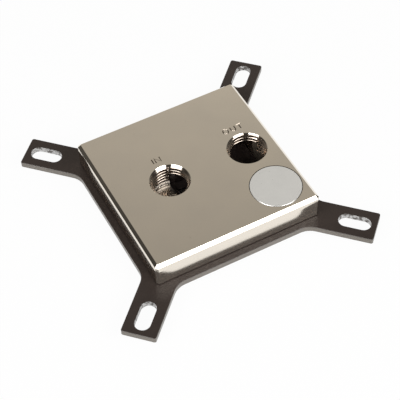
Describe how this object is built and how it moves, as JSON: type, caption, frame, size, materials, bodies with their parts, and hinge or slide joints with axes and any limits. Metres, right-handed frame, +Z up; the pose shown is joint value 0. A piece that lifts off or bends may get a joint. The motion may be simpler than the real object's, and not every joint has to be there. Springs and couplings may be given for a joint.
{
  "type": "liquid cooling cold plate",
  "caption": "Square nickel-plated liquid cooling block with threaded inlet and outlet ports, on a black cross-shaped bracket with slotted arms.",
  "frame": {"origin": "centre of the contact face under the cold plate, which is also the bottom centre of the whole part", "axes": "+Z up, out of the two ports; the bracket's arms run along X and Y, the square block is turned 45 degrees between them, and the outlet lies from the inlet towards +X +Y"},
  "size_m": [0.1222, 0.1222, 0.0146],
  "materials": {
    "bright_nickel": "polished",
    "black_powder_coat": "satin",
    "satin_disc": "satin",
    "plated_copper": "polished",
    "black_acetal": "satin",
    "stainless_sheet": "satin",
    "black_rubber": "matte",
    "stainless_screw": "satin"
  },
  "bodies": {
    "root": {"top_cover": "bright_nickel", "mounting_bracket": "black_powder_coat", "badge_disc": "satin_disc", "cold_plate": "plated_copper", "jet_insert": "black_acetal", "jet_plate": "stainless_sheet", "outer_seal": "black_rubber", "inlet_seal": "black_rubber", "base_screws": "stainless_screw"}
  },
  "joints": []
}
